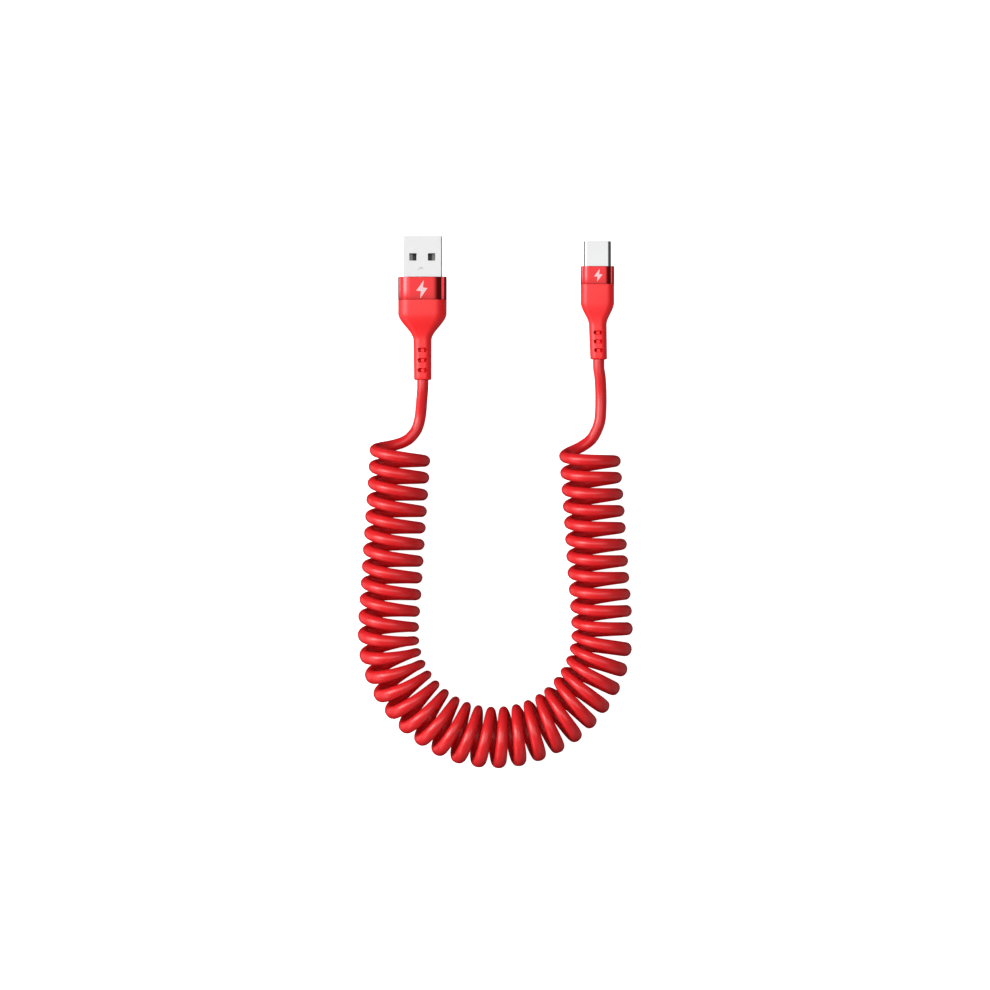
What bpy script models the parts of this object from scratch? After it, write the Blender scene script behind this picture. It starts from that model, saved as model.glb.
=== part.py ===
"""A coiled charging cable: a USB-A plug, a USB-C plug and one spring-wound cord between them.

The cable lies flat on the floor, Z = 0, with both plugs pointing to +Y and their broad faces up.
X = 0 and Y = 0 are the middle of the two plugs together. All sizes are in metres.

Each plug is modelled about its own axis: its origin is the middle of the strain relief's end, where
the cord leaves, +Y is the way the plug points and +Z is up.
"""

import math

import bmesh
import bpy
from mathutils import Vector

# Cord and its wound stretch
CORD_DIAMETER = 0.0035
COIL_DIAMETER = 0.0188
CORD_STEP = 2.0 * CORD_DIAMETER
COIL_STEP = 0.0060
CORD_LIFT = 0.00005

# Places of the plugs
PLUG_SPACING = 0.0536
EXIT_STEP = 0.0063

# Gaps that neighbours keep
SEAM_GAP = 0.0003
SHELL_FIT = 0.00015
LINER_FIT = 0.0001

# Moulded grip and metal sleeve of the USB-A plug
A_WIDTH = 0.0148
A_THICKNESS = 0.0079
A_CORNER = 0.0027
A_NECK_WIDTH = 0.0054
A_NECK_THICKNESS = 0.0052
A_NECK_CORNER = 0.0022
A_NECK_LENGTH = 0.0121
A_TAPER_LENGTH = 0.0083
A_GRIP_LENGTH = 0.0038
A_COLLAR_LENGTH = 0.0070
A_SLOT_WIDTH = 0.0028
A_SLOT_HEIGHT = 0.00115
A_SLOT_PITCH = 0.0031
A_FIRST_SLOT = 0.0029

# Moulded grip and metal sleeve of the USB-C plug
C_WIDTH = 0.0102
C_THICKNESS = 0.0062
C_CORNER = 0.0023
C_NECK_WIDTH = 0.0053
C_NECK_THICKNESS = 0.0049
C_NECK_CORNER = 0.0021
C_NECK_LENGTH = 0.0105
C_TAPER_LENGTH = 0.0070
C_GRIP_LENGTH = 0.0052
C_COLLAR_LENGTH = 0.0055
C_SLOT_WIDTH = 0.0026
C_SLOT_HEIGHT = 0.00105
C_SLOT_PITCH = 0.00273
C_FIRST_SLOT = 0.0027

# Details that both grips share
SLOTS_PER_FACE = 3
SLOT_DEPTH = 0.0010
EDGE_CHAMFER = 0.00015
NECK_END_ROUNDING = 0.00045
SHELL_SEAT = 0.0020

# Standard USB-A plug
A_SHELL_WIDTH = 0.0120
A_SHELL_THICKNESS = 0.0045
A_SHELL_WALL = 0.0003
A_SHELL_CORNER = 0.0006
A_SHELL_REACH = 0.01245
A_WINDOW_SIZE = 0.0022
A_WINDOW_SPACING = 0.0057
A_WINDOW_SETBACK = 0.0064
A_TONGUE_THICKNESS = 0.00184
A_TONGUE_SETBACK = 0.0006
A_MOUTH_DEPTH = 0.0088
A_CONTACT_WIDTH = 0.0010
A_CONTACT_THICKNESS = 0.0003
A_CONTACT_GROOVE = 0.00025
A_CONTACT_FIT = 0.0001
A_OUTER_CONTACT_X = 0.0035
A_INNER_CONTACT_X = 0.0010
A_OUTER_CONTACT_SETBACK = 0.0008
A_INNER_CONTACT_SETBACK = 0.0018

# Standard USB-C plug
C_SHELL_WIDTH = 0.00834
C_SHELL_THICKNESS = 0.00256
C_SHELL_WALL = 0.00025
C_SHELL_CORNER = 0.00122
C_SHELL_REACH = 0.0077
C_LINER_SETBACK = 0.0002
C_SLOT_OPENING_WIDTH = 0.0069
C_SLOT_OPENING_HEIGHT = 0.0009
C_SLOT_OPENING_DEPTH = 0.0060
C_CONTACTS_PER_ROW = 12
C_CONTACT_PITCH = 0.0005
C_CONTACT_WIDTH = 0.0002
C_CONTACT_THICKNESS = 0.0003
C_CONTACT_GROOVE = 0.0003
C_CONTACT_SIDE_GAP = 0.00005
C_CONTACT_SETBACK = 0.0008
C_CONTACT_LENGTH = 0.0048

# Fineness of the round shapes
ARC_STEPS = 6
SLOT_ARC_STEPS = 4
TAPER_STEPS = 8
SMOOTH_ANGLE = math.radians(35.0)
CUT_MARGIN = 0.0010
ROUTE_SAMPLES = 40

# Route of the wound stretch's axis, in millimetres to the right of and above the USB-A cord exit
COIL_ROUTE_MM = (
    (-6.7, -21.7), (-7.2, -30.7), (-8.0, -41.6), (-8.7, -52.0), (-9.5, -64.2), (-10.2, -74.0),
    (-10.2, -80.0), (-9.4, -84.9), (-7.5, -90.2), (-4.7, -95.0), (-1.2, -99.2), (2.7, -102.6),
    (7.2, -105.5), (12.0, -107.6), (17.0, -108.8), (22.2, -109.2), (27.4, -108.8), (32.5, -107.6),
    (37.3, -105.6), (41.9, -102.8), (45.8, -99.2), (49.3, -95.0), (52.0, -90.2), (53.9, -84.9),
    (54.8, -79.5), (54.8, -74.0), (54.1, -64.2), (53.2, -52.0), (52.5, -41.6), (51.7, -31.3),
    (51.1, -22.9),
)

# Routes of the straight ends, in millimetres. The first list is measured from the plug's cord exit,
# the second from the end of the wound stretch. The third value is how far the cord has sunk from the
# height of the exit to the floor, from 0 to 1.
LEAD_A_NEAR_PLUG_MM = (
    (0.0, 0.0, 0.0), (-0.1, -2.6, 0.06), (-0.2, -5.6, 0.30), (-0.4, -8.6, 0.65), (-0.7, -11.4, 0.90),
    (-1.5, -14.4, 1.0), (-2.5, -16.2, 1.0), (-3.7, -17.6, 1.0),
)
LEAD_A_NEAR_COIL_MM = ((1.0, 2.8, 1.0), (-1.1, 1.9, 1.0))
LEAD_C_NEAR_PLUG_MM = (
    (0.0, 0.0, 0.0), (0.5, -2.6, 0.06), (0.9, -5.7, 0.30), (1.1, -9.3, 0.65), (1.1, -13.0, 0.90),
    (1.0, -16.4, 1.0), (0.5, -19.7, 1.0), (-0.5, -22.2, 1.0),
)
LEAD_C_NEAR_COIL_MM = ((0.6, 4.8, 1.0), (-1.3, 3.0, 1.0), (-3.8, 1.7, 1.0))

# Colours
BRIGHT_RED = (0.78, 0.035, 0.045)
METAL_RED = (0.60, 0.020, 0.030)
STEEL = (0.80, 0.80, 0.81)
BLACK_PLASTIC = (0.02, 0.02, 0.022)
GOLD = (0.85, 0.62, 0.28)


def clear_scene():
    """Remove every object that is already there."""
    for obj in list(bpy.data.objects):
        bpy.data.objects.remove(obj, do_unlink=True)


def principled(name, colour, roughness, metallic=0.0):
    """A material with one Principled shader."""
    material = bpy.data.materials.new(name)
    material.use_nodes = True
    shader = material.node_tree.nodes["Principled BSDF"]
    shader.inputs["Base Color"].default_value = (*colour, 1.0)
    shader.inputs["Roughness"].default_value = roughness
    shader.inputs["Metallic"].default_value = metallic
    return material


def finish(obj, material):
    """Link the object, give it its material and shade it smooth over its round stretches."""
    bpy.context.collection.objects.link(obj)
    obj.data.materials.append(material)
    if obj.type == "MESH":
        obj.data.shade_smooth()
        obj.data.set_sharp_from_angle(angle=SMOOTH_ANGLE)
    return obj


def rounded_profile(width, height, radius, steps=ARC_STEPS):
    """Points round a rectangle with round corners, about the middle."""
    across = width / 2 - radius
    up = height / 2 - radius
    points = []
    for centre_x, centre_z, start in ((across, up, 0), (-across, up, 90), (-across, -up, 180), (across, -up, 270)):
        for i in range(steps + 1):
            angle = math.radians(start + 90 * i / steps)
            points.append((centre_x + radius * math.cos(angle), centre_z + radius * math.sin(angle)))
    return points


def ring_along_y(y, profile):
    """The profile stood across the Y axis."""
    return [Vector((x, y, z)) for x, z in profile]


def ring_along_z(z, profile):
    """The profile laid across the Z axis."""
    return [Vector((x, y, z)) for x, y in profile]


def ring_along_x(x, profile):
    """The profile stood across the X axis."""
    return [Vector((x, y, z)) for y, z in profile]


def loft(name, rings):
    """A closed solid whose skin runs through rings of as many points each."""
    mesh = bpy.data.meshes.new(name)
    work = bmesh.new()
    loops = [[work.verts.new(point) for point in ring] for ring in rings]
    count = len(rings[0])
    for lower, upper in zip(loops, loops[1:]):
        for i in range(count):
            j = (i + 1) % count
            work.faces.new((lower[i], lower[j], upper[j], upper[i]))
    work.faces.new(loops[0])
    work.faces.new(loops[-1])
    bmesh.ops.recalc_face_normals(work, faces=work.faces)
    work.to_mesh(mesh)
    work.free()
    return bpy.data.objects.new(name, mesh)


def block(name, low, high):
    """A box from its low corner to its high corner."""
    profile = [(low[0], low[2]), (high[0], low[2]), (high[0], high[2]), (low[0], high[2])]
    return loft(name, [ring_along_y(low[1], profile), ring_along_y(high[1], profile)])


def cut(obj, cutter):
    """Take the cutter's shape out of the object."""
    bpy.context.collection.objects.link(cutter)
    cutter.parent = obj.parent
    cutter.hide_render = True
    cutter.display_type = "WIRE"
    modifier = obj.modifiers.new(cutter.name, "BOOLEAN")
    modifier.operation = "DIFFERENCE"
    modifier.solver = "EXACT"
    modifier.object = cutter


def place(obj, parent, material):
    """Put a plug's piece on its plug."""
    obj.parent = parent
    return finish(obj, material)


def plug_empty(name, location):
    """The frame of one plug, at its cord exit."""
    empty = bpy.data.objects.new(name, None)
    empty.location = location
    bpy.context.collection.objects.link(empty)
    return empty


def tube_sleeve(name, parent, material, back, front, width, thickness, corner, wall):
    """An open sleeve with an even wall and a small chamfer round its front edge."""
    outer = rounded_profile(width, thickness, corner)
    chamfer = wall / 3
    lip = rounded_profile(width - 2 * chamfer, thickness - 2 * chamfer, corner - chamfer)
    rings = [ring_along_y(back, outer), ring_along_y(front - chamfer, outer), ring_along_y(front, lip)]
    sleeve = place(loft(name, rings), parent, material)
    inner = rounded_profile(width - 2 * wall, thickness - 2 * wall, corner - wall)
    hollow = [ring_along_y(back - CUT_MARGIN, inner), ring_along_y(front + CUT_MARGIN, inner)]
    cut(sleeve, loft(name + "_hollow", hollow))
    return sleeve


def collar(name, parent, material, back, length, size, corner, shell_size, shell_corner):
    """The metal sleeve: a rounded block with chamfered ends and a hole that the shell passes through."""
    width, thickness = size
    body = rounded_profile(width, thickness, corner)
    chamfered = rounded_profile(width - 2 * EDGE_CHAMFER, thickness - 2 * EDGE_CHAMFER, corner - EDGE_CHAMFER)
    front = back + length
    rings = [
        ring_along_y(back, chamfered),
        ring_along_y(back + EDGE_CHAMFER, body),
        ring_along_y(front - EDGE_CHAMFER, body),
        ring_along_y(front, chamfered),
    ]
    sleeve = place(loft(name, rings), parent, material)
    cut(sleeve, shell_room(name + "_hole", back - CUT_MARGIN, front + CUT_MARGIN, shell_size, shell_corner))
    return sleeve


def shell_room(name, back, front, shell_size, shell_corner):
    """The room that a shell takes up in what it passes through, with its fit all round."""
    width, thickness = shell_size
    hole = rounded_profile(width + 2 * SHELL_FIT, thickness + 2 * SHELL_FIT, shell_corner + SHELL_FIT)
    return loft(name, [ring_along_y(back, hole), ring_along_y(front, hole)])


def eased(share):
    """A share from 0 to 1, eased in and out."""
    return share * share * (3 - 2 * share)


def overmould_rings(size, corner, neck_size, neck_corner, neck_length, taper_length, grip_length):
    """The grip's sections from the end of its strain relief to its front face."""

    def section(y, share, inset=0.0):
        """A section between the neck's, at share 0, and the grip's, at share 1."""
        width = neck_size[0] + share * (size[0] - neck_size[0]) - 2 * inset
        thickness = neck_size[1] + share * (size[1] - neck_size[1]) - 2 * inset
        radius = neck_corner + share * (corner - neck_corner) - inset
        return ring_along_y(y, rounded_profile(width, thickness, radius))

    rounding = NECK_END_ROUNDING
    rings = []
    for i in range(4):
        angle = math.radians(90 * i / 3)
        rings.append(section(rounding * (1 - math.cos(angle)), 0.0, rounding * (1 - math.sin(angle))))
    for i in range(TAPER_STEPS + 1):
        share = i / TAPER_STEPS
        rings.append(section(neck_length + taper_length * share, eased(share)))
    front = neck_length + taper_length + grip_length
    rings.append(section(front - EDGE_CHAMFER, 1.0))
    rings.append(section(front, 1.0, EDGE_CHAMFER))
    return rings


def cut_slots(grip, neck_thickness, slot_width, slot_height, first_slot, pitch):
    """Sink the flexing slots into the top and the underside of the strain relief."""
    outline = rounded_profile(slot_width, slot_height, slot_height * 0.48, SLOT_ARC_STEPS)
    floor = neck_thickness / 2 - SLOT_DEPTH
    for side in (1, -1):
        for i in range(SLOTS_PER_FACE):
            middle = first_slot + i * pitch
            moved = [(x, middle + y) for x, y in outline]
            heights = (side * floor, side * (neck_thickness / 2 + CUT_MARGIN))
            rings = [ring_along_z(height, moved) for height in heights]
            cut(grip, loft(f"{grip.name}_slot_{side}_{i}", rings))


def usb_a_plug(exit_point):
    """All pieces of the USB-A plug."""
    plug = plug_empty("usb_a_plug", exit_point)
    shell_size = (A_SHELL_WIDTH, A_SHELL_THICKNESS)
    grip_front = A_NECK_LENGTH + A_TAPER_LENGTH + A_GRIP_LENGTH
    collar_back = grip_front + SEAM_GAP
    shell_front = collar_back + A_COLLAR_LENGTH + A_SHELL_REACH
    shell_back = grip_front - SHELL_SEAT

    rings = overmould_rings(
        (A_WIDTH, A_THICKNESS), A_CORNER, (A_NECK_WIDTH, A_NECK_THICKNESS), A_NECK_CORNER,
        A_NECK_LENGTH, A_TAPER_LENGTH, A_GRIP_LENGTH)
    grip = place(loft("usb_a_overmould", rings), plug, principled("usb_a_overmould", BRIGHT_RED, 0.45))
    pocket = shell_room("usb_a_pocket", shell_back - SEAM_GAP, grip_front + CUT_MARGIN, shell_size, A_SHELL_CORNER)
    cut(grip, pocket)
    cut_slots(grip, A_NECK_THICKNESS, A_SLOT_WIDTH, A_SLOT_HEIGHT, A_FIRST_SLOT, A_SLOT_PITCH)

    collar("usb_a_collar", plug, principled("usb_a_collar", METAL_RED, 0.2, 1.0), collar_back,
           A_COLLAR_LENGTH, (A_WIDTH, A_THICKNESS), A_CORNER, shell_size, A_SHELL_CORNER)
    shell = tube_sleeve("usb_a_shell", plug, principled("usb_a_shell", STEEL, 0.35, 1.0), shell_back,
                        shell_front, A_SHELL_WIDTH, A_SHELL_THICKNESS, A_SHELL_CORNER, A_SHELL_WALL)
    cut_windows(shell, shell_front)
    usb_a_inside(plug, shell_back, shell_front)


def cut_windows(shell, shell_front):
    """Cut the latch windows through both broad faces, two in each."""
    for i, x in enumerate((-A_WINDOW_SPACING / 2, A_WINDOW_SPACING / 2)):
        half = A_WINDOW_SIZE / 2
        middle = shell_front - A_WINDOW_SETBACK
        reach = A_SHELL_THICKNESS / 2 + CUT_MARGIN
        window = block(f"usb_a_window_{i}", (x - half, middle - half, -reach), (x + half, middle + half, reach))
        cut(shell, window)


def usb_a_inside(plug, shell_back, shell_front):
    """The insulator, with its back block and tongue, and the four contact strips in its grooves."""
    half_width = A_SHELL_WIDTH / 2 - A_SHELL_WALL - SHELL_FIT
    low = -A_SHELL_THICKNESS / 2 + A_SHELL_WALL + SHELL_FIT
    tongue_top = low + A_TONGUE_THICKNESS
    mouth_back = shell_front - A_MOUTH_DEPTH
    tongue_front = shell_front - A_TONGUE_SETBACK
    side_view = [
        (shell_back, low), (tongue_front, low), (tongue_front, tongue_top),
        (mouth_back, tongue_top), (mouth_back, -low), (shell_back, -low),
    ]
    rings = [ring_along_x(-half_width, side_view), ring_along_x(half_width, side_view)]
    tongue = place(loft("usb_a_tongue", rings), plug, principled("usb_a_tongue", BLACK_PLASTIC, 0.5))

    strips = (
        (-A_OUTER_CONTACT_X, A_OUTER_CONTACT_SETBACK), (-A_INNER_CONTACT_X, A_INNER_CONTACT_SETBACK),
        (A_INNER_CONTACT_X, A_INNER_CONTACT_SETBACK), (A_OUTER_CONTACT_X, A_OUTER_CONTACT_SETBACK),
    )
    for number, (x, setback) in enumerate(strips, start=1):
        half = A_CONTACT_WIDTH / 2
        front = tongue_front - setback
        back = mouth_back + A_CONTACT_FIT
        groove_floor = tongue_top - A_CONTACT_GROOVE
        groove_half = half + A_CONTACT_FIT
        groove_front = front + A_CONTACT_FIT
        groove = block(f"usb_a_groove_{number}", (x - groove_half, mouth_back, groove_floor),
                       (x + groove_half, groove_front, tongue_top + CUT_MARGIN))
        cut(tongue, groove)
        strip_low = groove_floor + A_CONTACT_FIT
        strip = block(f"usb_a_contact_{number}", (x - half, back, strip_low),
                      (x + half, front, strip_low + A_CONTACT_THICKNESS))
        place(strip, plug, principled(f"usb_a_contact_{number}", GOLD, 0.25, 1.0))


def usb_c_plug(exit_point):
    """All pieces of the USB-C plug."""
    plug = plug_empty("usb_c_plug", exit_point)
    shell_size = (C_SHELL_WIDTH, C_SHELL_THICKNESS)
    grip_front = C_NECK_LENGTH + C_TAPER_LENGTH + C_GRIP_LENGTH
    collar_back = grip_front + SEAM_GAP
    shell_front = collar_back + C_COLLAR_LENGTH + C_SHELL_REACH
    shell_back = grip_front - SHELL_SEAT

    rings = overmould_rings(
        (C_WIDTH, C_THICKNESS), C_CORNER, (C_NECK_WIDTH, C_NECK_THICKNESS), C_NECK_CORNER,
        C_NECK_LENGTH, C_TAPER_LENGTH, C_GRIP_LENGTH)
    grip = place(loft("usb_c_overmould", rings), plug, principled("usb_c_overmould", BRIGHT_RED, 0.45))
    pocket = shell_room("usb_c_pocket", shell_back - SEAM_GAP, grip_front + CUT_MARGIN, shell_size, C_SHELL_CORNER)
    cut(grip, pocket)
    cut_slots(grip, C_NECK_THICKNESS, C_SLOT_WIDTH, C_SLOT_HEIGHT, C_FIRST_SLOT, C_SLOT_PITCH)

    collar("usb_c_collar", plug, principled("usb_c_collar", METAL_RED, 0.2, 1.0), collar_back,
           C_COLLAR_LENGTH, (C_WIDTH, C_THICKNESS), C_CORNER, shell_size, C_SHELL_CORNER)
    tube_sleeve("usb_c_shell", plug, principled("usb_c_shell", STEEL, 0.15, 1.0), shell_back,
                shell_front, C_SHELL_WIDTH, C_SHELL_THICKNESS, C_SHELL_CORNER, C_SHELL_WALL)
    usb_c_inside(plug, shell_back, shell_front)


def comb_outline():
    """The slot's section with a groove above and below it for each contact."""
    half_width = C_SLOT_OPENING_WIDTH / 2
    half_height = C_SLOT_OPENING_HEIGHT / 2
    groove_half = C_CONTACT_WIDTH / 2 + C_CONTACT_SIDE_GAP
    groove_top = half_height + C_CONTACT_GROOVE
    lower_row = []
    for x in contact_places():
        lower_row += [
            (x - groove_half, -half_height), (x - groove_half, -groove_top),
            (x + groove_half, -groove_top), (x + groove_half, -half_height),
        ]
    right_end = [(half_width, -half_height), (half_width, half_height)]
    upper_row = [(x, -z) for x, z in reversed(lower_row)]
    left_end = [(-half_width, half_height), (-half_width, -half_height)]
    return lower_row + right_end + upper_row + left_end


def contact_places():
    """Where the contacts of one row stand across the plug."""
    middle = (C_CONTACTS_PER_ROW - 1) / 2
    return [(i - middle) * C_CONTACT_PITCH for i in range(C_CONTACTS_PER_ROW)]


def usb_c_inside(plug, shell_back, shell_front):
    """The insulator with its slot, and the two rows of contacts."""
    inset = C_SHELL_WALL + LINER_FIT
    profile = rounded_profile(C_SHELL_WIDTH - 2 * inset, C_SHELL_THICKNESS - 2 * inset, C_SHELL_CORNER - inset)
    liner_front = shell_front - C_LINER_SETBACK
    rings = [ring_along_y(shell_back, profile), ring_along_y(liner_front, profile)]
    liner = place(loft("usb_c_liner", rings), plug, principled("usb_c_liner", BLACK_PLASTIC, 0.5))
    slot_back = liner_front - C_SLOT_OPENING_DEPTH
    outline = comb_outline()
    slot = loft("usb_c_slot", [ring_along_y(slot_back, outline), ring_along_y(liner_front + CUT_MARGIN, outline)])
    cut(liner, slot)

    front = liner_front - C_CONTACT_SETBACK
    top = C_SLOT_OPENING_HEIGHT / 2 + C_CONTACT_GROOVE - LINER_FIT
    for row, side in (("upper", 1), ("lower", -1)):
        heights = sorted((side * (top - C_CONTACT_THICKNESS), side * top))
        for number, x in enumerate(contact_places(), start=1):
            half = C_CONTACT_WIDTH / 2
            strip = block(f"usb_c_contact_{row}_{number}", (x - half, front - C_CONTACT_LENGTH, heights[0]),
                          (x + half, front, heights[1]))
            place(strip, plug, principled(f"usb_c_contact_{row}_{number}", GOLD, 0.25, 1.0))


def between(points, i, share):
    """A point on the smooth curve through the points, between point i and the next one."""
    before = points[max(i - 1, 0)]
    start = points[i]
    end = points[i + 1]
    after = points[min(i + 2, len(points) - 1)]
    leave = (end - before) / 2
    arrive = (after - start) / 2
    square = share * share
    cube = square * share
    return (
        start * (2 * cube - 3 * square + 1) + leave * (cube - 2 * square + share)
        + end * (3 * square - 2 * cube) + arrive * (cube - square)
    )


def smooth_route(points, step):
    """Points about one step apart on the smooth curve through the route's own points."""
    fine = [between(points, i, j / ROUTE_SAMPLES) for i in range(len(points) - 1) for j in range(ROUTE_SAMPLES)]
    fine.append(points[-1])
    travelled = [0.0]
    for a, b in zip(fine, fine[1:]):
        travelled.append(travelled[-1] + (b - a).length)
    count = max(2, math.ceil(travelled[-1] / step))
    route = []
    k = 0
    for i in range(count + 1):
        target = travelled[-1] * i / count
        while k < len(fine) - 2 and travelled[k + 1] < target:
            k += 1
        share = (target - travelled[k]) / (travelled[k + 1] - travelled[k])
        route.append(fine[k].lerp(fine[k + 1], share))
    return route


def round_tube(name, route, diameter, resolution, material):
    """A round solid along the route, closed at both ends."""
    curve = bpy.data.curves.new(name, "CURVE")
    curve.dimensions = "3D"
    curve.twist_mode = "Z_UP"
    curve.bevel_depth = diameter / 2
    curve.bevel_resolution = resolution
    curve.use_fill_caps = True
    spline = curve.splines.new("POLY")
    spline.points.add(len(route) - 1)
    for point, place_in_room in zip(spline.points, route):
        point.co = (*place_in_room, 1.0)
    spline.use_smooth = True
    return finish(bpy.data.objects.new(name, curve), material)


def coil_route(exit_point):
    """The axis of the wound stretch, lying on the floor."""
    height = COIL_DIAMETER / 2
    return [Vector((exit_point.x + x / 1000, exit_point.y + y / 1000, height)) for x, y in COIL_ROUTE_MM]


def lead_route(exit_point, coil_end, near_plug, near_coil):
    """The route of a straight end, from the strain relief to the wound stretch."""
    rest_height = CORD_DIAMETER / 2 + CORD_LIFT
    route = []
    for origin, points in ((exit_point, near_plug), (coil_end, near_coil)):
        for x, y, sunk in points:
            height = exit_point.z + sunk * (rest_height - exit_point.z)
            route.append(Vector((origin.x + x / 1000, origin.y + y / 1000, height)))
    route[0].y -= SEAM_GAP
    return route


def cord(exit_a, exit_c):
    """The wound stretch as one fat tube of its outer size, and the two straight ends."""
    axis = coil_route(exit_a)
    round_tube("coil", smooth_route(axis, COIL_STEP), COIL_DIAMETER, 6, principled("coil", BRIGHT_RED, 0.4))
    ends = (
        ("lead_usb_a", exit_a, axis[0], LEAD_A_NEAR_PLUG_MM, LEAD_A_NEAR_COIL_MM),
        ("lead_usb_c", exit_c, axis[-1], LEAD_C_NEAR_PLUG_MM, LEAD_C_NEAR_COIL_MM),
    )
    for name, exit_point, coil_end, near_plug, near_coil in ends:
        route = smooth_route(lead_route(exit_point, coil_end, near_plug, near_coil), CORD_STEP)
        round_tube(name, route, CORD_DIAMETER, 2, principled(name, BRIGHT_RED, 0.4))


def cord_exits():
    """The two cord exits, with the middle of both plugs together at X = 0, Y = 0."""
    length_a = (A_NECK_LENGTH + A_TAPER_LENGTH + A_GRIP_LENGTH + SEAM_GAP + A_COLLAR_LENGTH + A_SHELL_REACH)
    length_c = (C_NECK_LENGTH + C_TAPER_LENGTH + C_GRIP_LENGTH + SEAM_GAP + C_COLLAR_LENGTH + C_SHELL_REACH)
    left = -A_WIDTH / 2
    right = PLUG_SPACING + C_WIDTH / 2
    back = min(0.0, EXIT_STEP)
    front = max(length_a, EXIT_STEP + length_c)
    middle_x = (left + right) / 2
    middle_y = (back + front) / 2
    exit_a = Vector((-middle_x, -middle_y, A_THICKNESS / 2))
    exit_c = Vector((PLUG_SPACING - middle_x, EXIT_STEP - middle_y, C_THICKNESS / 2))
    return exit_a, exit_c


def main():
    clear_scene()
    exit_a, exit_c = cord_exits()
    usb_a_plug(exit_a)
    usb_c_plug(exit_c)
    cord(exit_a, exit_c)


main()
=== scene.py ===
"""Looks of the coiled charging cable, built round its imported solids.

The cable lies flat on a pale floor, both plugs pointing to +Y, and the camera looks straight down on
it. X runs from the USB-A plug to the USB-C plug and Z is up. All sizes are in metres.
"""

import bisect
import math
from dataclasses import dataclass

import bmesh
import bpy
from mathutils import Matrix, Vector


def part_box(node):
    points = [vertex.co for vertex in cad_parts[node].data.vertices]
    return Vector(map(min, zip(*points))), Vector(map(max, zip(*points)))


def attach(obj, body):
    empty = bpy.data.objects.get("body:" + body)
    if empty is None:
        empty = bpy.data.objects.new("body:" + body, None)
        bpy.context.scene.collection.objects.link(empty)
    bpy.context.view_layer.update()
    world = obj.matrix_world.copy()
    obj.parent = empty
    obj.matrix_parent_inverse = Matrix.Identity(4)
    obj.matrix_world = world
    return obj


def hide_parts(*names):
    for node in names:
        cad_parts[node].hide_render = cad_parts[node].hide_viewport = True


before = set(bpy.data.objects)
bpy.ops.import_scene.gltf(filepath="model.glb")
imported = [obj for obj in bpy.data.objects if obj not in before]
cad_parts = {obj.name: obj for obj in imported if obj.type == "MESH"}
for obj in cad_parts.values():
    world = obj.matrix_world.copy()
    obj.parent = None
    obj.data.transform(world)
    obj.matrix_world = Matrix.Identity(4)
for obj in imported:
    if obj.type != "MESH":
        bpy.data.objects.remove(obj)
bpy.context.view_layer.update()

# The photograph and the camera over it
METRES_PER_PIXEL = 0.000305
PHOTO_MIDDLE = 495.0
PHOTO_WIDTH = 990.0
USB_A_EXIT_PIXEL = (422.1, 379.5)
CAMERA_HEIGHT = 1.40
CAMERA_NEAR = 0.01
CAMERA_FAR = 20.0
SENSOR_MM = 36.0

# Cord and its winding. COIL_TURNS whole turns reach a little past both ends of the winding's axis, and
# the cord follows them from FIRST_TURN to LAST_TURN.
CORD_DIAMETER = 0.0035
CORD_INSET = 0.00045
COIL_DIAMETER = 0.0188
COIL_TURNS = 42
COIL_LEAN = 0.07
COIL_STARTS_BEFORE = 0.0011
COIL_ENDS_BEYOND = 0.0013
FIRST_TURN = 0.30
LAST_TURN = 41.70

# Squeeze of the cord in the U's bend, and how far to either side along the axis the bend is measured
BEND_SQUEEZE = 0.9
BEND_REACH = 0.006

# Fineness of the cord's mesh
CORD_SIDES = 20
POINTS_PER_TURN = 16
SAMPLES_PER_POINT = 2
AXIS_SAMPLES = 40

# Route of the wound stretch's axis, measured from the USB-A cord exit, to the right and upwards in the
# picture
COIL_ROUTE = (
    (-0.0067, -0.0217), (-0.0072, -0.0307), (-0.0080, -0.0416), (-0.0087, -0.0520),
    (-0.0095, -0.0642), (-0.0102, -0.0740), (-0.0102, -0.0800), (-0.0094, -0.0849),
    (-0.0075, -0.0902), (-0.0047, -0.0950), (-0.0012, -0.0992), (0.0027, -0.1026),
    (0.0072, -0.1055), (0.0120, -0.1076), (0.0170, -0.1088), (0.0222, -0.1092),
    (0.0274, -0.1088), (0.0325, -0.1076), (0.0373, -0.1056), (0.0419, -0.1028),
    (0.0458, -0.0992), (0.0493, -0.0950), (0.0520, -0.0902), (0.0539, -0.0849),
    (0.0548, -0.0795), (0.0548, -0.0740), (0.0541, -0.0642), (0.0532, -0.0520),
    (0.0525, -0.0416), (0.0517, -0.0313), (0.0511, -0.0229),
)

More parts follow.
